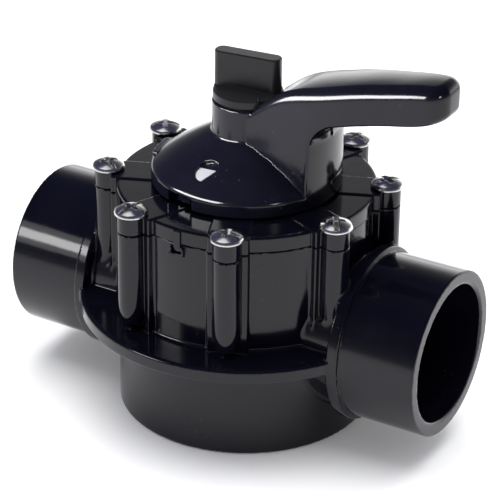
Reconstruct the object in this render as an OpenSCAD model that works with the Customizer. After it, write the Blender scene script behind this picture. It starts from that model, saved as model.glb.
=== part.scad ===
// Three way diverter valve for two inch plastic pipe.
// Origin: centre of the bottom port's rim. +Z: stem axis, up. +X: right hand port.

/* [Ports] */
// Inside diameter of each solvent-weld socket
socket_d = 60.5; // [60.3:0.1:61.5]
// Outside diameter of the side ports
port_od = 73; // [72:0.5:75]
// Distance from the stem axis to a side port's mouth
port_reach = 100.6; // [98:0.2:110]
// Height of the side ports' axis above the base
port_z = 47.6; // [47.4:0.1:48.2]
// Bore of the water passages through the valve wall
passage_d = 44; // [40:1:45]

/* [Body] */
// Outside diameter of the barrel
barrel_d = 112.2; // [111.8:0.2:114]
// Inside diameter of the chamber
chamber_d = 100; // [99:0.5:100.5]
// Height of the joint between the body and the cover
joint_z = 97.8; // [97:0.2:100]
// Diameter of the stiffening flange
flange_d = 146; // [144:1:150]

/* [Cover screws] */
// Number of cover screws
screws = 8; // [8]
// Diameter of the circle that the screws stand on
screw_circle_d = 121.4; // [121:0.2:123]
// Diameter of the screw heads
head_d = 14.5; // [13.5:0.25:15]

/* [Handle] */
// Outside diameter of the handle's dome
dome_d = 82.8; // [82:0.2:84]
// Distance from the stem axis to the lever's tip
lever_reach = 96; // [92:0.2:104]
// Width of the lever at its tip
lever_tip_w = 22; // [20:0.5:24]
// Width of the lever where it leaves the dome
lever_root_w = 32.6; // [30:0.2:33]

/* [Lock knob] */
// Diameter of the knob
knob_d = 30.1; // [29.7:0.1:30.3]
// Length of the knob's wing
wing_l = 29.8; // [26:0.2:29.8]
// Thickness of the knob's wing
wing_t = 7.4; // [6:0.2:9]
// Direction of the wing, measured from the lever
wing_angle = 6; // [-90:1:90]

/* [Hidden] */
$fn = 96;
eps = 0.01;

black = [0.075, 0.075, 0.09];
steel = [0.78, 0.78, 0.76];
brass = [0.80, 0.62, 0.30];
rubber = [0.06, 0.06, 0.06];
acetal = [0.90, 0.89, 0.84];
nylon = [0.24, 0.24, 0.26];

// Body
socket_r = socket_d / 2;
port_r = port_od / 2;
collar_r = port_r + 2;
collar_x = 60.7;
collar_end_x = 66;
neck_r = 33;
socket_end_x = 62;
passage_r = passage_d / 2;
passage_mouth_r = 26;
barrel_r = barrel_d / 2;
chamber_r = chamber_d / 2;
floor_z = 21;
base_depth = 18;
base_wall = 5;
rib_t = 3;
rib_count = 8;
bottom_passage_r = 24;
flange_r = flange_d / 2;
flange_low = 44.5;
flange_top = 50.8;
post_circle_r = screw_circle_d / 2;
post_r = 6.1;
nose_top = 64;
web_w = 17.3;
web_r = 58.4;
insert_r = 4.2;
insert_low = 82;
hole_low = 68;
key_angle = -90.2;
key_w = 3.6;
key_out = 57.7;

// Cover
rim_top = 104.7;
pad_top = 105.4;
ear_top = 105.9;
cover_r = 56.5;
spigot_low = 91;
spigot_r = chamber_r - 0.3;
o_ring_r = 1.45;
o_ring_circle_r = chamber_r - 1.5;
o_ring_z = 94.4;
neck_top = 116;
cover_neck_r = 19;
stem_bore_r = 12.8;
bush_r = 15;
bush_low = 104;
bush_top = 117.4;
stop_r_in = 33;
stop_r_out = 37.6;
stop_half_angle = 6;
stop_gap_angle = 1;
lug_angle = -103;
handle_travel = 180;

// Screws
head_low = 105.95;
head_h = 3;
shank_r = 3.1;
shank_low = 72;

// Rotor
stem_r = 11.9;
stem_square = 16;
stem_corner_r = 11.1;
stem_shoulder = 117.7;
stem_top = 137.4;
stem_groove_r = 9.9;
stem_seal_r = 1.3;
seal_low_z = 95;
seal_high_z = 100.5;
plate_low = 85.6;
plate_top = 89.6;
plate_r = 47;
shutter_in = 44.5;
shutter_out = 48.6;
shutter_half_angle = 33;
gasket_in = 22.3;
gasket_out = 25.2;
gasket_seat = 47.4;
foot_low = 21.9;
foot_top = 24.9;
foot_in = 27;
strut_angle = 100;
threads_r = 4;
stem_insert_r = 6.2;

// Handle
dome_r = dome_d / 2;
skirt_low = 105.9;
skirt_top = 112.3;
shell_t = 3.2;
hub_r = 15.3;
dome_crest = 128.6;
dome_bulge = 0.8;
hub_top = 142.6;
lever_cut_r = 15.7;
hub_core_low = 118;
dimple_angle = -93.5;
dimple_at = [31.8, 122.6];
dimple_r = 5.4;
pad_angle = -169;
stud_hole_r = 5.3;

// Knob
washer_r = 12.9;
knob_low = 143.5;
knob_disc_top = 148.3;
knob_top = 163.4;
knob_r = knob_d / 2;
wing_corner = 3.4;
stud_head_r = 8;
stud_low = 124;
thread_gap = 0.05;

// Points on an arc about [x, y], from angle a to angle b
function arc(x, y, r, a, b, n = 6) =
    [for (i = [0:n]) [x + r * cos(a + (b - a) * i / n), y + r * sin(a + (b - a) * i / n)]];

// Points on a cubic curve from p to s, with handles at q and r
function curve(p, q, r, s, n = 8) =
    [for (i = [0:n]) let (t = i / n, u = 1 - t)
        u * u * u * p + 3 * u * u * t * q + 3 * u * t * t * r + t * t * t * s];

// Points on a shallow arc between two points, bulging to the left by h
function bow(p, q, h, n = 8) =
    [for (i = [0:n]) let (t = i / n, d = q - p, s = norm(d))
        p + d * t + [-d[1], d[0]] / s * 4 * h * t * (1 - t)];

module ring(outer, inner, low, high) {
    translate([0, 0, low]) difference() {
        cylinder(r = outer, h = high - low);
        translate([0, 0, -1]) cylinder(r = inner, h = high - low + 2);
    }
}

module around_screws() {
    for (i = [0:screws - 1]) rotate(180 / screws + i * 360 / screws) children();
}

module both_sides() {
    for (a = [0, 180]) rotate(a) children();
}

// A block between two radii, to either side of the +X axis
module spoke(r_from, r_to, width, low, high) {
    translate([r_from, -width / 2, low]) cube([r_to - r_from, width, high - low]);
}

// A sector of a ring, centred on an angle
module sector(outer, inner, low, high, angle, half) {
    rotate(angle) intersection() {
        ring(outer, inner, low, high);
        translate([0, 0, low]) linear_extrude(high - low)
            polygon([[0, 0], for (i = [-2:2]) 2 * outer * [cos(half * i / 2), sin(half * i / 2)]]);
    }
}

module tube_x(outer, inner, from, to) {
    translate([from, 0, port_z]) rotate([0, 90, 0]) difference() {
        cylinder(r = outer, h = to - from);
        translate([0, 0, -1]) cylinder(r = inner, h = to - from + 2);
    }
}

module rod_x(r_from, r_to, from, to) {
    translate([from, 0, port_z]) rotate([0, 90, 0]) cylinder(r1 = r_from, r2 = r_to, h = to - from);
}

// A round post that ends in a bullet nose on the flange
module post() {
    nose_h = nose_top - flange_top + 1;
    translate([post_circle_r, 0, 0]) rotate_extrude()
        polygon(concat([[0, flange_top - 1]],
            [for (i = [1:8]) [(post_r - 0.3) * sin(90 * i / 8), nose_top - nose_h * cos(90 * i / 8)]],
            [[post_r, joint_z], [0, joint_z]]));
    spoke(chamber_r + 2, web_r, web_w, flange_top - 1, joint_z);
}

module flange() {
    rotate_extrude() polygon(concat(
        [[chamber_r + 1, flange_low - 3]],
        arc(barrel_r + 3, flange_low - 3, 3, 180, 90),
        [[flange_r - 5, flange_low], [flange_r - 4, flange_low + 0.8]],
        arc(flange_r - 1.2, flange_low + 2, 1.2, -90, 0),
        arc(flange_r - 1.2, flange_top - 1.2, 1.2, 0, 90),
        arc(barrel_r + 1.5, flange_top + 1.5, 1.5, 270, 180),
        [[chamber_r + 1, flange_top + 1.5]]));
}

// A side port: socket, collar and neck, along +X
module port_outside() {
    translate([0, 0, port_z]) rotate([0, 90, 0]) rotate_extrude() polygon(concat(
        [[0, 40], [neck_r, 40]],
        [[neck_r, collar_x - 2], [neck_r + 2, collar_x]],
        arc(collar_r - 0.8, collar_x + 0.8, 0.8, -90, 0, 4),
        arc(collar_r - 0.8, collar_end_x - 0.8, 0.8, 0, 90, 4),
        [[port_r, collar_end_x]],
        arc(port_r - 0.6, port_reach - 0.6, 0.6, 0, 90, 4),
        [[0, port_reach]]));
}

module port_inside() {
    rod_x(socket_r, socket_r, socket_end_x, port_reach + 1);
    rod_x(socket_r, socket_r + 0.8, port_reach - 0.8 + eps, port_reach + eps);
    rod_x(passage_r, passage_mouth_r, chamber_r - 6, socket_end_x + eps);
}

// The hollow ring in the base, between the skirt and the bottom socket, with its ribs
module base_hollow() {
    difference() {
        ring(barrel_r - base_wall, port_r, -1, base_depth);
        for (i = [0:rib_count - 1]) rotate((i + 0.5) * 360 / rib_count)
            spoke(port_r - 1, barrel_r, rib_t, -2, base_depth + 1);
    }
}

// The pocket on the barrel that takes the cover's key
module key_pocket() {
    rotate(key_angle) difference() {
        spoke(barrel_r - 1, key_out + 0.2, key_w + 3.2, joint_z - 5.2, joint_z - 1.2);
        spoke(barrel_r - 2, web_r + 2, key_w + 0.8, joint_z - 3.9, joint_z);
    }
}

module valve_body() {
    color(black) difference() {
        union() {
            cylinder(r = barrel_r, h = joint_z);
            flange();
            around_screws() post();
            both_sides() port_outside();
            key_pocket();
        }
        translate([0, 0, floor_z]) cylinder(r = chamber_r, h = joint_z);
        translate([0, 0, base_depth - 1]) cylinder(r = bottom_passage_r, h = 10);
        translate([0, 0, -1]) cylinder(r = socket_r, h = base_depth + 1);
        base_hollow();
        both_sides() port_inside();
        around_screws() translate([post_circle_r, 0, hole_low]) {
            cylinder(r = shank_r, h = joint_z);
            translate([0, 0, insert_low - hole_low]) cylinder(r = insert_r, h = joint_z);
        }
    }
}

module screw_inserts() {
    color(brass) around_screws() translate([post_circle_r, 0, 0])
        ring(insert_r, shank_r, insert_low, joint_z - 0.2);
}

module cover() {
    color(black) difference() {
        union() {
            rotate_extrude() polygon(concat([[0, joint_z], [cover_r, joint_z]],
                arc(cover_r - 1, rim_top - 1, 1, 0, 90), [[0, rim_top]]));
            around_screws() {
                translate([post_circle_r, 0, joint_z]) cylinder(r = post_r, h = ear_top - joint_z);
                spoke(cover_neck_r, web_r, web_w, joint_z, pad_top);
            }
            translate([0, 0, spigot_low]) cylinder(r = spigot_r, h = joint_z - spigot_low + 1);
            cylinder_neck();
            for (a = [-1, 1]) stop_lug(a);
            rotate(key_angle) spoke(barrel_r + 0.3, key_out, key_w, joint_z - 3.2, rim_top - 0.6);
            rotate(key_angle) spoke(barrel_r - 4, key_out, key_w, joint_z, rim_top - 0.6);
        }
        ring(spigot_r - 5, cover_neck_r + 1.5, spigot_low - 1, rim_top - 4);
        ring(chamber_r + 1, o_ring_circle_r - o_ring_r, o_ring_z - 1.6, o_ring_z + 1.6);
        translate([0, 0, spigot_low - 1]) cylinder(r = stem_bore_r, h = bush_low);
        translate([0, 0, bush_low]) cylinder(r = bush_r, h = neck_top);
        around_screws() translate([post_circle_r, 0, joint_z - 1]) cylinder(r = shank_r + 0.3, h = 12);
    }
}

module cylinder_neck() {
    rotate_extrude() polygon(concat([[0, rim_top - 1], [cover_neck_r + 2, rim_top - 1]],
        arc(cover_neck_r + 2, pad_top + 2, 2, 270, 180, 4), [[cover_neck_r, neck_top], [0, neck_top]]));
}

// The blocks that the handle's lug meets at either end of its travel
module stop_lug(side) {
    offset_angle = 2 * stop_half_angle + stop_gap_angle;
    centre = side < 0 ? lug_angle - offset_angle : lug_angle + handle_travel + offset_angle;
    sector(stop_r_out, stop_r_in, rim_top - 1, rim_top + 4, centre, stop_half_angle);
}

module o_ring(circle_r, section_r, z) {
    translate([0, 0, z]) rotate_extrude() translate([circle_r, 0]) circle(r = section_r, $fn = 32);
}

module cover_o_ring() {
    color(rubber) o_ring(o_ring_circle_r, o_ring_r - 0.03, o_ring_z);
}

// Truss head screw with a combined cross and slot drive
module cover_screw(turn) {
    crown = head_d * head_d / 8 / (head_h - 0.6) + (head_h - 0.6) / 2;
    edge_angle = asin(head_d / 2 / crown);
    difference() {
        union() {
            translate([0, 0, head_low]) rotate_extrude() polygon(concat([[0, 0], [head_d / 2, 0]],
                arc(0, head_h - crown, crown, 90 - edge_angle, 90, 8)));
            translate([0, 0, shank_low]) cylinder(r = shank_r, h = head_low - shank_low + 1);
        }
        rotate(turn) translate([0, 0, head_low + head_h]) {
            cube([1.5, 8, 3], center = true);
            cube([head_d + 2, 1.5, 2.4], center = true);
        }
    }
}

module cover_screws() {
    color(steel) for (i = [0:screws - 1]) rotate(180 / screws + i * 360 / screws)
        translate([post_circle_r, 0, 0]) cover_screw(35 + 67 * i);
}

module stem_bush() {
    color(acetal) {
        ring(bush_r, stem_r + 0.05, bush_low, neck_top + eps);
        ring(bush_r + 3, stem_r + 0.05, neck_top, bush_top);
    }
}

module lower_wear_ring() {
    color(acetal) ring(35, foot_in, floor_z, foot_low - 0.2);
}

module upper_thrust_washer() {
    color(acetal) ring(stem_bore_r + 6, stem_bore_r, plate_top + 0.2, spigot_low);
}

// Rotor that closes one side port: shutter, plates, struts and stem
module diverter() {
    color(nylon) difference() {
        union() {
            sector(shutter_out, shutter_in, foot_low, plate_top, 0, shutter_half_angle);
            ring(plate_r, foot_in, foot_low, foot_top);
            translate([0, 0, plate_low]) cylinder(r = plate_r, h = plate_top - plate_low);
            for (a = [-strut_angle, strut_angle]) rotate(a) spoke(40, 46, 8, foot_low, plate_top);
            translate([0, 0, plate_low - 6]) cylinder(r = 17, h = 8);
            for (a = [0, 60, -60]) rotate(a) spoke(0, 44, 5, plate_low - 6, plate_low + 1);
            cylinder_stem();
        }
        for (z = [seal_low_z, seal_high_z]) ring(stem_r + 1, stem_groove_r, z - 1.5, z + 1.5);
        intersection() {
            tube_x(gasket_out, gasket_in, 30, 60);
            ring(shutter_out + 3, gasket_seat, floor_z, plate_top);
        }
        translate([0, 0, stud_low - 2]) cylinder(r = stem_insert_r, h = 20);
        translate([0, 0, stud_low - 8]) cylinder(r = threads_r + 0.5, h = 20);
    }
}

module cylinder_stem() {
    translate([0, 0, plate_low]) cylinder(r = stem_r, h = stem_shoulder - plate_low);
    intersection() {
        translate([0, 0, stem_shoulder - 1]) cylinder(r = stem_corner_r, h = stem_top - stem_shoulder + 1);
        translate([-stem_square / 2, -stem_square / 2, stem_shoulder - 1])
            cube([stem_square, stem_square, 40]);
    }
}

module diverter_gasket() {
    color(rubber) intersection() {
        tube_x(gasket_out, gasket_in, 30, 60);
        ring(chamber_r - 0.3, gasket_seat, floor_z, plate_top);
    }
}

module stem_o_ring_lower() {
    color(rubber) o_ring(stem_groove_r + stem_seal_r, stem_seal_r, seal_low_z);
}

module stem_o_ring_upper() {
    color(rubber) o_ring(stem_groove_r + stem_seal_r, stem_seal_r, seal_high_z);
}

module stem_insert() {
    color(brass) ring(stem_insert_r, threads_r + thread_gap, stud_low - 2, stem_top);
}

// Section of the lever by distance from the stem axis, from the hub to the tip
function lever_side() = let (tip = lever_reach) concat(
    [[0, skirt_low], [dome_r, skirt_low], [dome_r, 134]],
    curve([dome_r, 134], [dome_r, 141], [44, 144.6], [50, 146]),
    curve([50, 146], [64, 149.4], [76, 151.6], [tip - 3, 155.2], 6),
    arc(tip - 3, 158.2, 3, -90, 0, 4),
    arc(tip - 6, 165, 6, 0, 90),
    curve([tip - 6, 171], [76, 169.6], [52, 165.4], [38.5, 160.9], 8),
    curve([38.5, 160.9], [28, 157.4], [20, 151.4], [lever_cut_r, 147], 6),
    [[lever_cut_r, hub_top - 0.4], [0, hub_top - 0.4]]);

// Plan of the lever's +Y half: widest where it crosses the dome's edge
function lever_half_plan() = let (tip = lever_reach, w = lever_tip_w / 2, root = lever_root_w / 2) concat(
    curve([4, 13.2], [16, 14.2], [30, 15.4], [38, root], 4),
    curve([39, root], [52, 14.6], [74, w + 0.4], [tip - 8, w], 8),
    curve([tip - 8, w], [tip - 1, w - 0.6], [tip, w - 4], [tip, 0], 8));

module lever() {
    half = lever_half_plan();
    intersection() {
        rotate_extrude() polygon(lever_side());
        translate([0, 0, skirt_low]) linear_extrude(80) polygon(concat([[0, 0], [0, 13]], half,
            [for (i = [len(half) - 2:-1:0]) [half[i][0], -half[i][1]]], [[0, -13]]));
    }
}

module dome(r, low, skirt, crest, hub) {
    rotate_extrude() polygon(concat([[0, low], [r, low]],
        bow([r, skirt], [hub, crest], -dome_bulge), [[0, crest]]));
}

module handle() {
    notch_w = 12;
    color(black) difference() {
        union() {
            difference() {
                union() {
                    dome(dome_r, skirt_low, skirt_top, dome_crest, hub_r);
                    translate([0, 0, skirt_top]) cylinder(r = hub_r, h = hub_top - skirt_top);
                    lever();
                    sector(dome_r, dome_r - 5, skirt_top - 1, skirt_top + 2.6, pad_angle, 11);
                }
                rotate(dimple_angle) translate([dimple_at[0], 0, dimple_at[1]]) sphere(r = dimple_r);
                difference() {
                    dome(dome_r - shell_t, skirt_low - 1, skirt_top - 2, dome_crest - shell_t, hub_r);
                    translate([0, 0, hub_core_low]) cylinder(r = hub_r + 1, h = 30);
                }
                rotate(lug_angle) spoke(dome_r - shell_t - 1, dome_r + 2, notch_w, skirt_low - 1, skirt_top - 2);
            }
            sector(dome_r - shell_t + 0.3, stop_r_in, skirt_low + 0.6, skirt_top, lug_angle, stop_half_angle);
        }
        translate([-stem_square / 2 - 0.1, -stem_square / 2 - 0.1, hub_core_low - 1])
            cube([stem_square + 0.2, stem_square + 0.2, stem_top - hub_core_low + 1.6]);
        translate([0, 0, stem_top]) cylinder(r = stud_hole_r, h = 10);
    }
}

module handle_seat_washer() {
    color(acetal) ring(hub_r + 1, stem_r + 0.2, bush_top + 0.1, hub_core_low - 0.1);
}

module lock_washer() {
    color(steel) ring(washer_r, stud_hole_r, hub_top + 0.05, knob_low - 0.05);
}

// Round base with an upright wing to turn it by
module lock_knob() {
    end_x = wing_l / 2 - wing_corner;
    end_y = wing_t / 2 - wing_corner;
    color(black) rotate(wing_angle) difference() {
        union() {
            rotate_extrude() polygon(concat([[0, knob_low]],
                arc(knob_r - 0.5, knob_low + 0.5, 0.5, -90, 0, 3),
                arc(knob_r - 0.8, knob_disc_top - 0.8, 0.8, 0, 90, 4),
                [[0, knob_disc_top]]));
            translate([0, 0, knob_low + 1]) linear_extrude(knob_top - knob_low - 1) polygon(concat(
                arc(end_x, end_y, wing_corner, 0, 90), arc(-end_x, end_y, wing_corner, 90, 180),
                arc(-end_x, -end_y, wing_corner, 180, 270), arc(end_x, -end_y, wing_corner, 270, 360)));
        }
        translate([0, 0, knob_low - 1]) cylinder(r = threads_r, h = 4);
        translate([0, 0, knob_low + 1.4]) cylinder(r = stud_head_r, h = 2);
    }
}

module knob_stud() {
    color(steel) {
        translate([0, 0, stud_low]) cylinder(r = threads_r, h = knob_low + 1.4 - stud_low + eps);
        translate([0, 0, knob_low + 1.4]) cylinder(r = stud_head_r, h = 2);
    }
}

valve_body();
screw_inserts();
cover();
cover_o_ring();
cover_screws();
stem_bush();
lower_wear_ring();
upper_thrust_washer();
diverter();
diverter_gasket();
stem_o_ring_lower();
stem_o_ring_upper();
stem_insert();
handle();
handle_seat_washer();
lock_washer();
lock_knob();
knob_stud();
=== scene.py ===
"""Three way diverter valve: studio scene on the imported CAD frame."""
import math

import bpy
import numpy as np
from mathutils import Matrix, Vector


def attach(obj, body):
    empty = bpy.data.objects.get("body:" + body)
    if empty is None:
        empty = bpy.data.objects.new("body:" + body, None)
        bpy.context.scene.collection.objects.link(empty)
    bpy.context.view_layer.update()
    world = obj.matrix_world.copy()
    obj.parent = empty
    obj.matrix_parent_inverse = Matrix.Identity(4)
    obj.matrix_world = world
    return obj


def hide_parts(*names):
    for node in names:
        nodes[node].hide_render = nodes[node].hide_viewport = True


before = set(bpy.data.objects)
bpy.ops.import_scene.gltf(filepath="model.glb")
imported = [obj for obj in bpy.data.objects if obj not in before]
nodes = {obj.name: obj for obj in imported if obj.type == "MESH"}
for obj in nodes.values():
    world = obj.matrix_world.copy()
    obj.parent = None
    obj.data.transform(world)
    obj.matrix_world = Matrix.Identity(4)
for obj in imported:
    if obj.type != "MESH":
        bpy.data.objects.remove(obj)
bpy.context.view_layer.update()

scene = bpy.context.scene

# ---------------------------------------------------------------- camera
AZIMUTH, ELEVATION, ROLL = (math.radians(v) for v in (29.915, 27.42, 0.721))
EYE = (0.44927, -0.77743, 0.53588)
LENS = 165.967

back = Vector((math.sin(AZIMUTH) * math.cos(ELEVATION), -math.cos(AZIMUTH) * math.cos(ELEVATION),
               math.sin(ELEVATION)))
right = Vector((math.cos(AZIMUTH), math.sin(AZIMUTH), 0.0))
up = back.cross(right)
right, up = (right * math.cos(ROLL) + up * math.sin(ROLL),
             up * math.cos(ROLL) - right * math.sin(ROLL))
camera = bpy.data.objects.new("camera", bpy.data.cameras.new("camera"))
scene.collection.objects.link(camera)
camera.matrix_world = Matrix.Translation(EYE) @ Matrix((right, up, back)).transposed().to_4x4()
camera.data.sensor_width = 36.0
camera.data.lens = LENS
camera.data.clip_start = 0.05
camera.data.clip_end = 20.0
scene.camera = camera


# ---------------------------------------------------------------- materials
class Tree:
    """A small helper that adds and links shader nodes."""

    def __init__(self, tree):
        self.tree = tree

    def add(self, kind, inputs=None, **settings):
        node = self.tree.nodes.new(kind)
        for key, value in settings.items():
            setattr(node, key, value)
        for key, value in (inputs or {}).items():
            self.put(node, key, value)
        return node

    def put(self, node, key, value):
        if isinstance(value, bpy.types.NodeSocket):
            self.tree.links.new(value, node.inputs[key])
        else:
            node.inputs[key].default_value = value

    def stretch(self, vector, scales):
        return self.add("ShaderNodeVectorMath", {0: vector, 1: scales}, operation="MULTIPLY").outputs[0]

    def noise(self, vector, scale, detail=3.0, rough=0.5):
        return self.add("ShaderNodeTexNoise", {"Vector": vector, "Scale": scale, "Detail": detail,
                                               "Roughness": rough}).outputs["Fac"]

    def ramp(self, value, a, b, low, high):
        return self.add("ShaderNodeMapRange", {"Value": value, "From Min": a, "From Max": b,
                                               "To Min": low, "To Max": high}).outputs[0]

    def mix(self, fac, a, b):
        node = self.add("ShaderNodeMix", {"Factor": fac}, data_type="RGBA")
        self.put(node, 6, a)
        self.put(node, 7, b)
        return node.outputs[2]

    def maths(self, kind, a, b):
        return self.add("ShaderNodeMath", {0: a, 1: b}, operation=kind).outputs[0]


class Shading(Tree):
    """A material with the settings of its Principled shader."""

    def __init__(self, name):
        self.material = bpy.data.materials.new(name)
        self.material.use_nodes = True
        super().__init__(self.material.node_tree)
        self.shader = self.tree.nodes["Principled BSDF"]

    def place(self):
        return self.add("ShaderNodeTexCoord").outputs["Object"]

    def set(self, key, value):
        self.put(self.shader, key, value)

    def tinted(self, cloud, a, b, base, tint):
        """A colour that drifts from base to tint as the cloud goes from a to b."""
        return self.mix(self.ramp(cloud, a, b, 0.0, 1.0), (*base, 1), (*tint, 1))


def plastic(name, base, tint, rough, spread, grain, dust):
    """Injection moulded ABS: flow variation in colour and gloss, fine grain, faint scuffs and dust."""
    m = Shading(name)
    p = m.place()
    cloud = m.noise(p, 38.0, 3.0, 0.55)
    fine = m.noise(p, 900.0, 2.0, 0.6)
    micro = m.noise(p, 2600.0, 2.0, 0.6)
    specks = m.add("ShaderNodeTexVoronoi", {"Vector": p, "Scale": 420.0}, feature="F1")
    spots = m.maths("MULTIPLY", m.ramp(specks.outputs["Distance"], 0.05, 0.10, 1.0, 0.0),
                    m.ramp(m.noise(p, 55.0), 0.55, 0.62, 0.0, dust))
    m.set("Base Color", m.mix(spots, m.tinted(cloud, 0.35, 0.65, base, tint), (0.16, 0.16, 0.17, 1)))
    scuff = m.noise(m.stretch(p, (60.0, 60.0, 420.0)), 1.0, 2.0)
    m.set("Roughness", m.maths("ADD", m.ramp(cloud, 0.3, 0.7, rough - spread, rough + spread),
                               m.ramp(scuff, 0.60, 0.75, 0.0, spread)))
    m.set("IOR", 1.52)
    m.set("Specular IOR Level", 0.33)
    height = m.maths("ADD", m.maths("MULTIPLY", fine, 0.7), m.maths("MULTIPLY", micro, 0.3))
    bump = m.add("ShaderNodeBump", {"Height": height, "Strength": grain, "Distance": 0.00003})
    slow = m.add("ShaderNodeBump", {"Height": m.noise(p, 70.0, 2.0), "Strength": 0.10,
                                    "Distance": 0.0006, "Normal": bump.outputs[0]})
    m.set("Normal", slow.outputs[0])
    return m.material


def metal(name, base, tint, rough, spread, lines):
    """Metal with a cloudy tint and brushed lines, finest along the axis with the largest scale."""
    m = Shading(name)
    p = m.place()
    cloud = m.noise(p, 160.0, 3.0)
    brush = m.noise(m.stretch(p, lines), 1.0, 3.0)
    m.set("Base Color", m.tinted(cloud, 0.35, 0.7, base, tint))
    m.set("Metallic", 1.0)
    m.set("Roughness", m.maths("ADD", m.ramp(cloud, 0.3, 0.7, rough - spread, rough + spread),
                               m.ramp(brush, 0.4, 0.7, 0.0, spread)))
    bump = m.add("ShaderNodeBump", {"Height": brush, "Strength": 0.12, "Distance": 0.00002})
    m.set("Normal", bump.outputs[0])
    return m.material


def simple(name, base, tint, rough, spread, grain, sheen=0.0):
    """A cloudy tint with fine grain, for seals and bearings."""
    m = Shading(name)
    p = m.place()
    cloud = m.noise(p, 60.0, 3.0)
    m.set("Base Color", m.tinted(cloud, 0.3, 0.7, base, tint))
    m.set("Roughness", m.ramp(cloud, 0.3, 0.7, rough - spread, rough + spread))
    m.set("Sheen Weight", sheen)
    bump = m.add("ShaderNodeBump", {"Height": m.noise(p, 1200.0, 3.0, 0.7), "Strength": grain,
                                    "Distance": 0.00005})
    m.set("Normal", bump.outputs[0])
    return m.material


BODY = plastic("body_abs", (0.0026, 0.0026, 0.0064), (0.0036, 0.0036, 0.0080),
               rough=0.11, spread=0.03, grain=0.35, dust=0.5)
HANDLE = plastic("lever_abs", (0.0018, 0.0018, 0.0040), (0.0026, 0.0026, 0.0052),
                 rough=0.13, spread=0.03, grain=0.40, dust=0.4)
KNOB = plastic("lock_knob_abs", (0.0150, 0.0148, 0.0160), (0.0190, 0.0187, 0.0203),
               rough=0.36, spread=0.03, grain=0.8, dust=0.2)
STEEL = metal("stainless_steel", (0.70, 0.69, 0.68), (0.55, 0.54, 0.53),
              rough=0.20, spread=0.04, lines=(900.0, 900.0, 60.0))
BRASS = metal("insert_brass", (0.72, 0.50, 0.20), (0.58, 0.40, 0.17),
              rough=0.28, spread=0.06, lines=(300.0, 300.0, 900.0))
RUBBER = simple("seal_rubber", (0.010, 0.010, 0.011), (0.016, 0.016, 0.017),
                rough=0.55, spread=0.08, grain=0.6, sheen=0.05)
ACETAL = simple("white_acetal", (0.72, 0.71, 0.66), (0.64, 0.63, 0.58),
                rough=0.36, spread=0.05, grain=0.3)
# a white patch on the floor of the pocket in the dome
WHITE_PATCH = simple("white_patch_finish", (0.80, 0.80, 0.84), (0.68, 0.68, 0.72),
                rough=0.35, spread=0.05, grain=0.3)
ROTOR = simple("rotor_plastic_dark", (0.022, 0.022, 0.024), (0.030, 0.030, 0.032),
               rough=0.34, spread=0.06, grain=0.5)

FINISH = {
    "valve_body": BODY, "cover": BODY, "handle": HANDLE, "lock_knob": KNOB,
    "cover_screws": STEEL, "lock_washer": STEEL, "knob_stud": STEEL,
    "screw_inserts": BRASS, "stem_insert": BRASS,
    "cover_o_ring": RUBBER, "diverter_gasket": RUBBER,
    "stem_o_ring_lower": RUBBER, "stem_o_ring_upper": RUBBER,
    "stem_bush": ACETAL, "lower_wear_ring": ACETAL,
    "upper_thrust_washer": ACETAL, "handle_seat_washer": ACETAL,
    "diverter": ROTOR,
}
for name, material in FINISH.items():
    mesh = nodes[name].data
    if mesh.materials:
        for i in range(len(mesh.materials)):
            mesh.materials[i] = material
    else:
        mesh.materials.append(material)


# ---------------------------------------------------------------- field surfaces
# Fields are in millimetres: negative inside the solid, 0 on its surface.
MM = 0.001


def round_max(a, b, radius):
    """The part common to two fields, with its edge rounded."""
    corner = np.hypot(np.maximum(radius + a, 0.0), np.maximum(radius + b, 0.0))
    return np.minimum(-radius, np.maximum(a, b)) + corner


def round_min(a, b, radius):
    """Two fields joined, with a fillet between them."""
    corner = np.hypot(np.maximum(radius - a, 0.0), np.maximum(radius - b, 0.0))
    return np.maximum(radius, np.minimum(a, b)) - corner


def smooth(a, b, x):
    t = np.clip((x - a) / (b - a), 0.0, 1.0)
    return t * t * (3.0 - 2.0 * t)


def turned(x, y, degrees):
    """Coordinates in axes turned about z."""
    c, s = math.cos(math.radians(degrees)), math.sin(math.radians(degrees))
    return x * c + y * s, y * c - x * s


def bar(x, y, z, half_y, x0, x1, z0, z1, radius):
    """A bar to one side of the axis with rounded edges."""
    side = round_max(np.abs(y) - half_y, np.maximum(x0 - x, x - x1), radius)
    return round_max(side, np.maximum(z0 - z, z - z1), radius)


class Spline:
    """A natural cubic spline through (x, y) points, straight beyond its ends."""

    def __init__(self, points):
        self.x, self.y = (np.array(v, float) for v in zip(*points))
        x, y, n = self.x, self.y, len(points)
        h = np.diff(x)
        a, b = np.eye(n), np.zeros(n)
        for i in range(1, n - 1):
            a[i, i - 1:i + 2] = h[i - 1], 2 * (h[i - 1] + h[i]), h[i]
            b[i] = 6 * ((y[i + 1] - y[i]) / h[i] - (y[i] - y[i - 1]) / h[i - 1])
        self.m, self.h = np.linalg.solve(a, b), h

    def __call__(self, q, slope=False):
        x, y, m, h = self.x, self.y, self.m, self.h
        c = np.clip(q, x[0], x[-1])
        i = np.clip(np.searchsorted(x, c) - 1, 0, len(h) - 1)
        a, b = x[i + 1] - c, c - x[i]
        d = ((m[i + 1] * b * b - m[i] * a * a) / (2 * h[i]) + (y[i + 1] - y[i]) / h[i]
             - h[i] * (m[i + 1] - m[i]) / 6)
        if slope:
            return d
        v = ((m[i] * a ** 3 + m[i + 1] * b ** 3) / (6 * h[i])
             + (y[i] / h[i] - m[i] * h[i] / 6) * a + (y[i + 1] / h[i] - m[i + 1] * h[i] / 6) * b)
        return v + d * (q - c)


def gradient(field, p, reach):
    g = np.empty_like(p)
    for k in range(3):
        d = np.zeros(3)
        d[k] = reach
        g[:, k] = (field(*(p + d).T) - field(*(p - d).T)) / (2 * reach)
    return g


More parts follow.
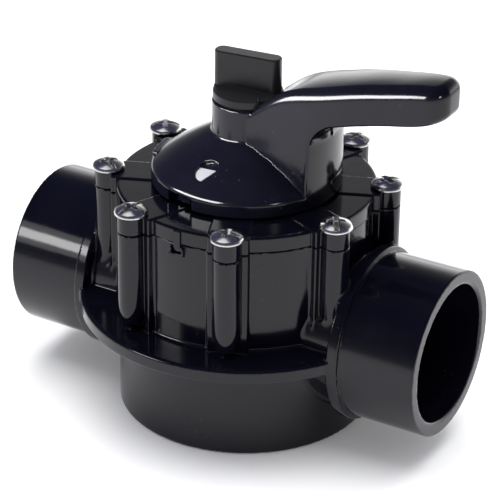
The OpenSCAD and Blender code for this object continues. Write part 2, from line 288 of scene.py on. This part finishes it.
def ends(axis, across=slice(None)):
    """Slices for the first and second end of every grid edge along an axis."""
    a = [across] * 3
    b = [across] * 3
    a[axis], b[axis] = slice(0, -1), slice(1, None)
    return tuple(a), tuple(b)


def cell_points(values, inside):
    """Which cells the surface crosses, and each one's mean crossing point in cells."""
    shape = [n - 1 for n in values.shape]
    total, count = np.zeros(shape + [3], np.float32), np.zeros(shape, np.int16)
    for axis in range(3):
        a, b = ends(axis)
        cut = inside[a] != inside[b]
        t = np.where(cut, values[a] / np.where(cut, values[a] - values[b], 1), 0)
        o1, o2 = (k for k in range(3) if k != axis)
        for u, v in ((0, 0), (0, 1), (1, 0), (1, 1)):
            part = [slice(None)] * 3
            part[o1] = slice(u, u + shape[o1])
            part[o2] = slice(v, v + shape[o2])
            c, w = cut[tuple(part)], t[tuple(part)]
            count += c
            total[..., axis] += np.where(c, w, 0)
            total[..., o1] += np.where(c, u, 0)
            total[..., o2] += np.where(c, v, 0)
    used = count > 0
    return used, np.argwhere(used) + total[used] / count[used][:, None]


def cell_quads(inside, used):
    """A quad round every crossed edge, through the points of its four cells."""
    index = np.full(used.shape, -1, np.int64)
    index[used] = np.arange(used.sum())
    quads = []
    for axis in range(3):
        o1, o2 = (axis + 1) % 3, (axis + 2) % 3
        a, b = ends(axis, slice(1, -1))
        for flip, pick in ((False, inside[a] & ~inside[b]), (True, ~inside[a] & inside[b])):
            edge = np.argwhere(pick)
            edge[:, [o1, o2]] += 1
            ring = []
            for d1, d2 in ((-1, -1), (0, -1), (0, 0), (-1, 0)):
                q = edge.copy()
                q[:, o1] += d1
                q[:, o2] += d2
                ring.append(index[q[:, 0], q[:, 1], q[:, 2]])
            quads.append(np.stack(ring[::-1] if flip else ring, 1))
    return np.concatenate(quads)


SLAB = 16           # grid layers worked out at a time
PULLS = 4           # steps that draw the points onto the field
PULL_REACH = 0.02   # mm, for the gradient in those steps


def meshed(field, low, high, step):
    """Points, quads and normals of the surface where field is 0, by surface nets drawn onto the field."""
    axes = [np.arange(a, b + step, step) for a, b in zip(low, high)]
    gx, gy, gz = np.meshgrid(*axes, indexing="ij", sparse=True)
    values = np.empty([len(a) for a in axes], np.float32)
    for i in range(0, len(axes[0]), SLAB):
        values[i:i + SLAB] = field(*np.broadcast_arrays(gx[i:i + SLAB], gy, gz))
    inside = values < 0
    used, places = cell_points(values, inside)
    home = places * step + np.array(low)
    p = home.copy()
    for _ in range(PULLS):
        g = gradient(field, p, PULL_REACH)
        move = (field(*p.T) / np.maximum((g * g).sum(1), 0.05))[:, None] * g
        p = p - np.clip(move, -0.5 * step, 0.5 * step)
    p = home + np.clip(p - home, -0.9 * step, 0.9 * step)
    normals = gradient(field, p, 0.12 * step)
    normals /= np.maximum(np.linalg.norm(normals, axis=1), 1e-9)[:, None]
    return p, cell_quads(inside, used), normals


def add_mesh(name, points, faces, material):
    mesh = bpy.data.meshes.new(name)
    mesh.from_pydata(points, [], faces)
    mesh.materials.append(material)
    o = bpy.data.objects.new(name, mesh)
    scene.collection.objects.link(o)
    return o


def moulding(name, points, quads, normals, material):
    """A smooth object with given normals, from points in millimetres."""
    o = add_mesh(name, (points * MM).tolist(), quads.tolist(), material)
    o.data.shade_smooth()
    o.data.normals_split_custom_set_from_vertices(normals.tolist())
    return o


def surface(name, field, low, high, step, material):
    return moulding(name, *meshed(field, low, high, step), material)


# ---------------------------------------------------------------- body
SCREWS = 8
SECTOR = 2 * math.pi / SCREWS
SEAM = 0.05                                     # half the gap between body and cover
BARREL_R, JOINT_Z = 56.1, 97.8
FLANGE_R, FLANGE_LOW, FLANGE_TOP = 73.0, 44.5, 50.8
LIP_R, LIP = 69.0, 0.8                          # the flange's underside steps down inside this radius
POST_AT, POST_R, POST_LOW = 60.7, 6.1, 48.0
NOSE_TOP, NOSE = 64.0, 13.2                     # the posts narrow to a nose below this height
POST_HOLE_R, INSERT_R, INSERT_LOW, HOLE_LOW = 3.1, 4.2, 82.0, 68.0
WEB_R, WEB_HALF, WEB_IN, WEB_LOW = 58.4, 8.65, 48.0, 47.0
PORT_Z, PORT_IN, PORT_REACH = 47.6, 38.0, 100.6
NECK_R, TUBE_R = 33.0, 36.5
COLLAR_R, COLLAR_X, COLLAR_HALF = 38.5, 63.35, 2.65
SOCKET_R, SOCKET_END, SOCKET_CHAMFER = 30.25, 62.0, 0.8
WAY_R, WAY_FLARE, WAY_IN, WAY_LENGTH = 22.0, 4.0, 44.0, 18.0
CHAMBER_R, CHAMBER_LOW = 50.0, 21.0
BASE_DEPTH, BASE_WAY_R = 18.0, 24.0
HOLLOW_IN, HOLLOW_OUT, RIB_HALF = 36.5, 51.1, 1.5
KEY_AZ = -90.2                                  # the cover's alignment key and its frame on the body


def fold(x, y):
    """Radial and sideways distance in the nearest of the eight sectors with a screw in its middle."""
    r, phi = np.hypot(x, y), np.arctan2(y, x) - SECTOR / 2
    u = phi - np.round(phi / SECTOR) * SECTOR
    return r * np.cos(u), r * np.sin(u)


def port_field(x, y, z):
    """Both side ports: neck, collar and socket tube."""
    r, ax = np.hypot(y, z - PORT_Z), np.abs(x)
    neck = np.maximum(r - NECK_R, ax - SOCKET_END)
    collar = round_max(r - COLLAR_R, np.abs(ax - COLLAR_X) - COLLAR_HALF, 0.9)
    tube = np.maximum(round_max(r - TUBE_R, ax - PORT_REACH, 0.7), SOCKET_END - ax)
    return np.maximum(round_min(round_min(neck, collar, 1.2), tube, 0.5), PORT_IN - ax)


def water_field(x, y, z):
    """The water's ways: chamber, side passages and sockets, and the bottom passage and socket."""
    r, rp, ax = np.hypot(x, y), np.hypot(y, z - PORT_Z), np.abs(x)
    chamber = np.maximum(r - CHAMBER_R, CHAMBER_LOW - z)
    passage = np.maximum(r - BASE_WAY_R, np.maximum(BASE_DEPTH - 1.0 - z, z - CHAMBER_LOW - 2.0))
    lower = np.minimum(passage, np.maximum(r - SOCKET_R, z - BASE_DEPTH))
    flare = WAY_R + WAY_FLARE * np.clip((ax - WAY_IN) / WAY_LENGTH, 0.0, 1.0)
    way = np.maximum(rp - flare, WAY_IN - ax)
    mouth = SOCKET_CHAMFER * smooth(PORT_REACH - 1.0, PORT_REACH + 0.1, ax)
    socket = np.maximum(rp - SOCKET_R - mouth, SOCKET_END - ax)
    return np.minimum(np.minimum(chamber, lower), np.minimum(way, socket))


def body_field(x, y, z):
    r = np.hypot(x, y)
    px, py = fold(x, y)
    top = z - JOINT_Z + SEAM
    barrel = round_max(round_max(r - BARREL_R, top, 0.4), -z, 0.6)
    lip = FLANGE_LOW - z + LIP * smooth(LIP_R, LIP_R + LIP, r) - LIP
    flange = round_max(round_max(r - FLANGE_R, z - FLANGE_TOP, 1.3), lip, 1.0)
    f = round_min(barrel, flange, 1.8)
    # screw posts with their webs
    nose = np.clip(NOSE_TOP - z, 0.0, NOSE) / NOSE
    from_post = np.hypot(px - POST_AT, py)
    post = (np.sqrt((from_post / POST_R) ** 2 + nose * nose) - 1.0) * POST_R
    post = np.maximum(round_max(post, top, 0.4), POST_LOW - z)
    web = bar(px, py, z, WEB_HALF, WEB_IN, WEB_R, WEB_LOW, JOINT_Z - SEAM, 0.5)
    f = round_min(f, round_min(post, web, 0.5), 0.8)
    f = round_min(f, port_field(x, y, z), 1.2)
    # frame that takes the cover's key
    kx, ky = turned(x, y, KEY_AZ)
    frame_out = bar(kx, ky, z, 3.4, 50.0, 57.9, 92.6, 96.6, 0.3)
    frame_in = np.maximum(np.maximum(np.abs(ky) - 2.2, BARREL_R - kx), np.maximum(93.9 - z, z - 99.0))
    f = round_min(f, np.maximum(frame_out, -frame_in), 0.3)
    # ribbed hollow in the base, and the screw holes with their inserts' seats
    hollow = np.maximum(np.maximum(r - HOLLOW_OUT, HOLLOW_IN - r), z - BASE_DEPTH)
    hollow = round_max(hollow, RIB_HALF - np.abs(py), 0.5)
    hole = from_post - POST_HOLE_R - (INSERT_R - POST_HOLE_R) * (z > INSERT_LOW)
    cut = np.minimum(water_field(x, y, z), np.minimum(hollow, np.maximum(hole, HOLE_LOW - z)))
    return round_max(f, -cut, 0.5)


body = surface("body_moulding", body_field, (-101.7, -74.1, -0.9), (101.7, 74.1, 98.7), 0.9, BODY)
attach(body, "body")
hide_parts("valve_body")


# ---------------------------------------------------------------- cover
LID_R, LID_LOW, LID_TOP = 56.5, 100.0, 104.7
PAD_IN, PAD_TOP, EAR_TOP = 19.0, 105.4, 105.9
SPIGOT_R, SPIGOT_IN, SPIGOT_LOW = 49.7, 44.7, 91.0
GROOVE_R, GROOVE_Z, GROOVE_HALF = 47.05, 94.4, 1.6
COVER_NECK_R, COVER_NECK_TOP = 19.0, 116.0
STOPS_AZ = (-116.0, 90.0)
STEM_R, BUSH_R, BUSH_LOW, BOSS_R = 12.8, 15.0, 104.0, 20.5
COVER_HOLE_R = 3.4


def cover_field(x, y, z):
    r = np.hypot(x, y)
    px, py = fold(x, y)
    low = JOINT_Z + SEAM - z
    f = round_max(round_max(r - LID_R, z - LID_TOP, 1.0), low, 0.35)
    pad = round_max(round_max(np.abs(py) - WEB_HALF, px - WEB_R, 0.5), z - PAD_TOP, 0.35)
    f = round_min(f, round_max(np.maximum(pad, PAD_IN - px), low, 0.35), 0.3)
    from_post = np.hypot(px - POST_AT, py)
    ear = round_max(round_max(from_post - POST_R, z - EAR_TOP, 0.4), low, 0.35)
    f = round_min(f, ear, 0.5)
    # spigot, neck, stop lugs and key
    f = round_min(f, np.maximum(r - SPIGOT_R, np.maximum(SPIGOT_LOW - z, z - LID_LOW)), 0.3)
    f = round_min(f, np.maximum(r - COVER_NECK_R, np.maximum(LID_LOW - z, z - COVER_NECK_TOP)), 2.0)
    for azimuth in STOPS_AZ:
        lx, ly = turned(x, y, azimuth)
        f = round_min(f, bar(lx, ly, z, 3.6, 33.0, 37.4, LID_LOW, 108.7, 0.4), 0.4)
    kx, ky = turned(x, y, KEY_AZ)
    key = np.minimum(bar(kx, ky, z, 1.8, 52.0, 57.6, 98.2, 104.1, 0.3),
                     bar(kx, ky, z, 1.8, 56.4, 57.6, 94.6, 104.1, 0.3))
    f = round_min(f, key, 0.3)
    # hollow underside, seal groove, stem bore with the bush's seat, and screw holes
    under = np.maximum(np.maximum(r - SPIGOT_IN, BOSS_R - r), z - LID_LOW - 0.7)
    groove = np.maximum(GROOVE_R - r, np.abs(z - GROOVE_Z) - GROOVE_HALF)
    bore = np.minimum(r - STEM_R, np.maximum(r - BUSH_R, BUSH_LOW - z))
    cut = np.minimum(np.minimum(under, groove), np.minimum(bore, from_post - COVER_HOLE_R))
    return round_max(f, -cut, 0.25)


cover = surface("cover_moulding", cover_field, (-67.8, -67.8, 90.3), (67.8, 67.8, 116.9), 0.7, BODY)
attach(cover, "body")
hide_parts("cover")


# ---------------------------------------------------------------- handle
DOME_R, SKIRT_LOW, SKIRT_TOP, CREST, BULGE, WALL = 41.4, 105.9, 112.3, 128.6, 3.6, 3.2
HUB_R, HUB_TOP, CORE_R, CORE_LOW = 15.3, 142.6, 15.4, 118.0
REST_PAD_AZ, REST_PAD_HALF, REST_PAD_IN, REST_PAD_TOP = -169.0, 8.3, 36.6, 114.6
WINDOW_AZ, WINDOW_HALF, WINDOW_TOP = -103.5, 6.7, 111.0
LUG_HALF, LUG_IN, LUG_OUT, LUG_TOP = 3.7, 33.0, 38.6, 113.0
STEM_HALF, STEM_TOP, STUD_R = 8.1, 138.0, 5.3
# lever: its tip's radius, its top and underside by radius, and its half width by x
TIP = 96.2
TOP = Spline([(12, 143.6), (16, 147.8), (24.4, 155.0), (35, 159.8), (45, 162.7), (59, 166.2),
              (73, 168.8), (84, 170.6), (92, 171.3), (100, 171.6)])
LOW = Spline([(36, 140.6), (44, 143.7), (49, 145.4), (60.5, 148.4), (72, 150.9), (85, 153.2),
              (92, 155.2), (100, 158.2)])
HALF = Spline([(0, 13.0), (5, 13.4), (20, 14.7), (32, 15.7), (38, 16.0), (44, 15.9), (60, 14.5),
               (75, 13.0), (92, 11.3), (100, 10.9)])
CROWN, DRAFT = 110.0, 0.031


def direction(azimuth, elevation):
    a, e = math.radians(azimuth), math.radians(elevation)
    return np.array((math.cos(a) * math.cos(e), math.sin(a) * math.cos(e), math.sin(e)))


# The pocket in the dome is a round hole square to the surface. Its floor slants from an edge.
POCKET_AT, POCKET_R, POCKET_EDGE = np.array((-1.9, -30.4, 120.2)), 5.5, -2.96
POCKET_AXIS, LEVEL = direction(-93.5, 57.2), direction(-3.5, 0.0)
EDGE_TURN, SLANT = math.radians(60.0), math.radians(15.0)
EDGE = LEVEL * math.cos(EDGE_TURN) + np.cross(POCKET_AXIS, LEVEL) * math.sin(EDGE_TURN)
INWARD = np.cross(POCKET_AXIS, EDGE)


def pocket(x, y, z):
    """Place along the edge and inward from it, distance from the pocket's axis, height over its floor."""
    p = [x - POCKET_AT[0], y - POCKET_AT[1], z - POCKET_AT[2]]
    s, t, h = (sum(p[k] * v[k] for k in range(3)) for v in (EDGE, INWARD, POCKET_AXIS))
    return s, t, np.hypot(s, t), (t - POCKET_EDGE) * math.sin(SLANT) + h * math.cos(SLANT)


def dome_field(r, z, inset=0.0):
    slope = math.hypot(DOME_R - HUB_R, CREST - SKIRT_TOP)
    nr, nz = (CREST - SKIRT_TOP) / slope, (DOME_R - HUB_R) / slope
    t = np.clip(((DOME_R - r) * nz + (z - SKIRT_TOP) * nr) / slope, -0.1, 1.1)
    cone = (r - DOME_R) * nr + (z - SKIRT_TOP) * nz - BULGE * t * (1 - t)
    return round_max(round_max(cone + inset, r - DOME_R + inset, 1.0), SKIRT_LOW - z - 2 * inset, 0.4)


def lever_field(x, y, z):
    r = np.hypot(x, y)
    width = np.abs(y) - HALF(x) - DRAFT * np.clip(136.0 - z, -10.0, 30.0)
    plan = round_max(width, r - TIP, 7.5)
    slope = TOP(r, True)
    top = (z + y * y / CROWN - TOP(r)) / np.sqrt(1 + slope * slope)
    lever = round_max(plan, top, 5.0)
    under = round_min(r - DOME_R, LOW(r) - z, 8.5)
    lever = round_max(lever, under, 0.8 + 0.7 * smooth(44.0, 60.0, r) + 1.5 * smooth(86.0, 95.0, r))
    lever = np.maximum(np.maximum(lever, 5.0 - x), 110.0 - z)
    return round_max(lever, -np.maximum(r - HUB_R - 0.3, HUB_TOP - 0.2 - z), 0.5)


def handle_field(x, y, z):
    r = np.hypot(x, y)
    hub = round_max(r - HUB_R - 0.006 * (HUB_TOP - z), z - HUB_TOP, 0.4)
    f = round_min(dome_field(r, z), np.maximum(hub, 112.0 - z), 0.9)
    f = round_min(f, lever_field(x, y, z), 0.12)
    # small gusset where the lever's underside meets its root
    wedge = np.maximum(np.abs(y + 0.7) - 0.78 * (z - 135.0),
                       np.maximum(r - DOME_R - 0.42 * (z - 134.6), 38.0 - r))
    f = round_min(f, np.maximum(np.maximum(wedge, z - 142.5), -x), 0.4)
    # rest pad on the rim
    px, py = turned(x, y, REST_PAD_AZ)
    pad = round_max(np.abs(py) - REST_PAD_HALF, np.maximum(r - DOME_R, REST_PAD_IN - r), 0.7)
    pad = round_max(pad, z - REST_PAD_TOP, 0.7)
    f = round_min(f, np.maximum(pad, 110.0 - z), 0.5)
    # pocket with the white patch on its floor
    _, _, pr, height = pocket(x, y, z)
    f = round_max(f, -round_max(pr - POCKET_R, -height, 0.5), 0.4)
    # hollow under the dome, the window in the skirt and the stop lug behind it
    hollow = np.maximum(dome_field(r, z, WALL), -np.maximum(r - CORE_R, CORE_LOW - z))
    nx, ny = turned(x, y, WINDOW_AZ)
    window = np.maximum(np.abs(ny) - WINDOW_HALF, np.maximum(LUG_IN - nx, nx - 45.0))
    window = round_max(window, z - WINDOW_TOP, 0.5)
    lug = np.maximum(np.maximum(np.abs(ny) - LUG_HALF, np.maximum(LUG_IN - r, r - LUG_OUT)),
                     np.maximum(SKIRT_LOW + 0.6 - z, z - LUG_TOP))
    f = round_min(round_max(f, -np.minimum(hollow, window), 0.35), lug, 0.3)
    # square socket for the stem, and the stud hole
    socket = np.maximum(np.maximum(np.abs(x), np.abs(y)) - STEM_HALF, z - STEM_TOP)
    return round_max(f, -np.minimum(socket, r - STUD_R), 0.2)


handle = surface("handle_moulding", handle_field, (-42.6, -42.6, 104.6), (98.6, 42.6, 173.6), 0.75, HANDLE)
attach(handle, "rotor")
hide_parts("handle")


def white_patch_field(x, y, z):
    """A white patch on the pocket's floor: the pocket's round outline cut straight on two sides."""
    s, t, pr, height = pocket(x, y, z)
    outline = np.maximum(pr - POCKET_R + 0.15, POCKET_EDGE + 0.1 - t)
    outline = np.maximum(outline, 0.893 * s + 0.449 * t - 1.44)
    return round_max(outline, np.abs(height) - 0.25, 0.1)


low, high = POCKET_AT - POCKET_R - 1.0, POCKET_AT + POCKET_R + 1.0
patch_piece = surface("pocket_white_patch", white_patch_field, low, high, 0.16, WHITE_PATCH)
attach(patch_piece, "rotor")


# ---------------------------------------------------------------- lock knob
DISC_R, DISC_LOW, DISC_TOP = 15.05, 143.5, 148.3
WING_AZ, WING_HALF_X, WING_HALF_Y, WING_TOP = 6.4, 15.0, 3.7, 163.4
TICK_X, TICK_Y, TICK_R, TICK_TOP = 10.6, -9.6, 0.6, 148.9
STUD_HEAD_R, STUD_SHANK_R, STUD_HEAD_Z, STUD_HEAD_HALF = 8.05, 4.05, 145.9, 1.05
WING_ROOT = 145.0


def knob_field(x, y, z):
    """A disc with an upright wing and a small tick, hollow where the stud is moulded in."""
    r = np.hypot(x, y)
    rim = r - DISC_R + 0.02 * (z - DISC_LOW)
    disc = round_max(round_max(rim, z - DISC_TOP + 0.004 * r * r, 0.7), DISC_LOW - z, 0.4)
    wx, wy = turned(x, y, WING_AZ)
    plan = round_max(np.abs(wx) - WING_HALF_X, np.abs(wy) - WING_HALF_Y - 0.012 * (WING_TOP - z), 3.3)
    wing = np.maximum(round_max(plan, z - WING_TOP, 0.6), WING_ROOT - z)
    f = round_min(disc, wing, 0.7)
    from_tick = np.hypot(x - TICK_X, y - TICK_Y)
    f = round_min(f, np.maximum(from_tick - TICK_R, np.maximum(WING_ROOT - z, z - TICK_TOP)), 0.4)
    stud_head = np.maximum(r - STUD_HEAD_R, np.abs(z - STUD_HEAD_Z) - STUD_HEAD_HALF)
    return np.maximum(f, -np.minimum(stud_head, np.maximum(r - STUD_SHANK_R, z - STUD_HEAD_Z)))


knob = surface("lock_knob_moulding", knob_field, (-16.0, -16.0, 142.9), (16.0, 16.0, 164.2), 0.34, KNOB)
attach(knob, "knob")
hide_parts("lock_knob")


# ---------------------------------------------------------------- cover screws
HEAD_LOW, HEAD_R, HEAD_H, HEAD_BALL = 105.95, 7.25, 3.7, 12.5
SLOT_HALF, SLOT_FLOOR = 0.75, 1.9
CROSS_HALF, CROSS_REACH, CROSS_TAPER = 1.0, 4.3, 0.9
PIT_R, PIT_TAPER, PIT_FLOOR = 2.2, 0.8, 0.9
SHANK_R, SHANK_TOP, SHANK_LOW = 3.0, 1.0, -6.0


def head_field(x, y, z):
    """A polished truss head with a cross recess and a slot, on its own axis."""
    r, ax, ay = np.hypot(x, y), np.abs(x), np.abs(y)
    ball = np.sqrt(r * r + (z - HEAD_H + HEAD_BALL) ** 2) - HEAD_BALL
    f = round_max(round_max(ball, r - HEAD_R, 0.9), -z, 0.3)
    depth = HEAD_H - z
    slot = np.maximum(ay - SLOT_HALF, SLOT_FLOOR - z)
    reach = CROSS_REACH - CROSS_TAPER * depth
    cross = np.minimum(np.maximum(ax - CROSS_HALF, ay - reach), np.maximum(ay - CROSS_HALF, ax - reach))
    recess = np.maximum(np.minimum(cross, r - PIT_R + PIT_TAPER * depth), PIT_FLOOR - z)
    f = round_max(f, -round_min(slot, recess, 0.3), 0.35)
    return np.minimum(f, np.maximum(np.maximum(r - SHANK_R, z - SHANK_TOP), SHANK_LOW - z))


FIRST_SCREW_AZ = 22.5
FIRST_SPIN, SPIN_STEP = 35, 67      # degrees, so that the drives point in different directions
points, quads, normals = meshed(head_field, (-8.0, -8.0, -6.6), (8.0, 8.0, 4.2), 0.22)
set_points, set_quads, set_normals = [], [], []
for i in range(SCREWS):
    azimuth = math.radians(FIRST_SCREW_AZ + 360.0 / SCREWS * i)
    spin = azimuth + math.radians((FIRST_SPIN + SPIN_STEP * i) % 360)
    axes = np.array([[math.cos(spin), math.sin(spin), 0],
                     [-math.sin(spin), math.cos(spin), 0],
                     [0, 0, 1]])
    at = np.array([POST_AT * math.cos(azimuth), POST_AT * math.sin(azimuth), HEAD_LOW])
    set_points.append(points @ axes + at)
    set_quads.append(quads + i * len(points))
    set_normals.append(normals @ axes)
screw_set = moulding("cover_screw_set", np.concatenate(set_points), np.concatenate(set_quads),
                     np.concatenate(set_normals), STEEL)
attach(screw_set, "body")
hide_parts("cover_screws")

# ---------------------------------------------------------------- floor and backdrop
FLOOR_HALF, FLOOR_DROP = 4.0, 0.0004
pale = Shading("pale_floor")
pale.set("Base Color", (0.90, 0.90, 0.90, 1))
pale.set("Roughness", 0.9)
pale.set("Specular IOR Level", 0.2)
corners = [(-FLOOR_HALF, -FLOOR_HALF, 0), (FLOOR_HALF, -FLOOR_HALF, 0),
           (FLOOR_HALF, FLOOR_HALF, 0), (-FLOOR_HALF, FLOOR_HALF, 0)]
floor = add_mesh("floor", corners, [(0, 1, 2, 3)], pale.material)
floor.location.z = -FLOOR_DROP

# a pale dome that only the camera sees, so that the horizon is plain from a low angle too
RINGS, SEGMENTS, BACKDROP_R, BACKDROP_DROP = 12, 48, 1.9, 0.01
points = []
for i in range(RINGS + 1):
    elevation = math.radians(90.0 * i / RINGS)
    for k in range(SEGMENTS):
        azimuth = math.radians(360.0 * k / SEGMENTS)
        points.append((BACKDROP_R * math.cos(elevation) * math.cos(azimuth),
                       BACKDROP_R * math.cos(elevation) * math.sin(azimuth),
                       BACKDROP_R * math.sin(elevation) - BACKDROP_DROP))
faces = []
for i in range(RINGS):
    for k in range(SEGMENTS):
        here, beside = i * SEGMENTS + k, i * SEGMENTS + (k + 1) % SEGMENTS
        faces.append((here, beside, beside + SEGMENTS, here + SEGMENTS))
glow = Shading("pale_backdrop")
glow.set("Base Color", (0.0, 0.0, 0.0, 1))
glow.set("Specular IOR Level", 0.0)
glow.set("Emission Color", (1.0, 1.0, 1.0, 1))
glow.set("Emission Strength", 1.0)
backdrop = add_mesh("backdrop", points, faces, glow.material)
for rays in ("diffuse", "glossy", "transmission", "volume_scatter", "shadow"):
    setattr(backdrop, "visible_" + rays, False)

# ---------------------------------------------------------------- light
world = bpy.data.worlds.new("studio")
scene.world = world
world.use_nodes = True
studio = Tree(world.node_tree)
toward = studio.add("ShaderNodeTexCoord").outputs["Generated"]
height = studio.add("ShaderNodeSeparateXYZ", {0: toward}).outputs["Z"]


def sky(stops):
    """Brightness by the sine of the elevation."""
    ramp = studio.add("ShaderNodeValToRGB", {0: height})
    for k, (at, colour) in enumerate(stops):
        e = ramp.color_ramp.elements[k] if k < 2 else ramp.color_ramp.elements.new(at)
        e.position = at
        e.color = (*colour, 1)
    return ramp.outputs[0]


def mask(azimuth, low, high):
    """Rises from 0 to 1 as the dot product with a level direction goes from low to high."""
    a = math.radians(azimuth)
    facing = studio.add("ShaderNodeVectorMath", {0: toward, 1: (math.cos(a), math.sin(a), 0.0)},
                        operation="DOT_PRODUCT")
    return studio.add("ShaderNodeMapRange", {"Value": facing.outputs["Value"], "From Min": low,
                                             "From Max": high}, interpolation_type="SMOOTHSTEP").outputs[0]


behind = sky([(0.0, (2.4, 2.4, 2.4)), (0.10, (2.2, 2.2, 2.2)), (0.26, (1.5, 1.5, 1.5)),
              (0.36, (0.7, 0.7, 0.7)), (0.46, (0.34, 0.34, 0.34)), (0.60, (0.14, 0.14, 0.15)),
              (0.76, (0.07, 0.07, 0.09)), (1.0, (0.05, 0.05, 0.08))])
ahead = sky([(0.0, (0.40, 0.40, 0.40)), (0.12, (0.20, 0.20, 0.21)), (0.35, (0.08, 0.08, 0.11)),
             (0.8, (0.04, 0.045, 0.11)), (1.0, (0.05, 0.05, 0.08))])
# the bright sector lies behind the valve and ends sharply to its left
sector = studio.maths("MULTIPLY", mask(90.0, 0.40, 0.72), mask(38.0, -0.10, 0.08))
background = studio.tree.nodes["Background"]
studio.put(background, "Color", studio.mix(sector, ahead, behind))
studio.put(background, "Strength", 1.0)


def area(name, at, target, size, radiance, glossy=True, only=(), shadow=True):
    """A rectangular lamp that the camera doesn't see. With only, it lights just those pieces."""
    aim = (Vector(at) - Vector(target)).normalized()
    light = bpy.data.lights.new(name, "AREA")
    light.shape = "RECTANGLE"
    light.size, light.size_y = size
    light.energy = radiance * math.pi * size[0] * size[1]
    light.use_shadow = shadow
    o = bpy.data.objects.new(name, light)
    o.matrix_world = Matrix.Translation(at) @ aim.to_track_quat("Z", "Y").to_matrix().to_4x4()
    o.visible_glossy = glossy
    o.visible_camera = False
    scene.collection.objects.link(o)
    if only:
        lit = bpy.data.collections.new(name + "_lights")
        for piece in only:
            lit.objects.link(piece)
        o.light_linking.receiver_collection = lit


BARREL_LEFT = (-0.08, -0.03, 0.06)
area("overhead_fill", at=(-0.1, 0.2, 1.35), target=(-0.1, 0.2, 0.0), size=(1.6, 1.6), radiance=3.4,
     glossy=False)
area("floor_fill", at=(0.0, 0.0, 1.2), target=(0.0, 0.0, 0.0), size=(6.0, 6.0), radiance=0.82,
     glossy=False, only=[floor], shadow=False)
area("left_panel", at=(-0.30, -0.40, 0.27), target=BARREL_LEFT, size=(0.17, 0.09), radiance=13.0,
     only=[body])
area("left_halo", at=(-0.32, -0.43, 0.29), target=BARREL_LEFT, size=(0.24, 0.24), radiance=2.2,
     only=[body])
area("lever_panel", at=(-0.12, -0.215, 0.245), target=(0.03, -0.01, 0.16), size=(0.30, 0.10),
     radiance=34.0, only=[handle])
area("screw_panel", at=(-0.15, -0.25, 0.9), target=(0.0, 0.0, 0.1), size=(0.7, 0.7), radiance=1.1,
     only=[screw_set])
area("tip_panel", at=(0.42, -0.22, 0.28), target=(0.09, -0.01, 0.165), size=(0.07, 0.07),
     radiance=14.0, only=[handle])

scene.view_settings.view_transform = "Standard"
scene.view_settings.look = "None"
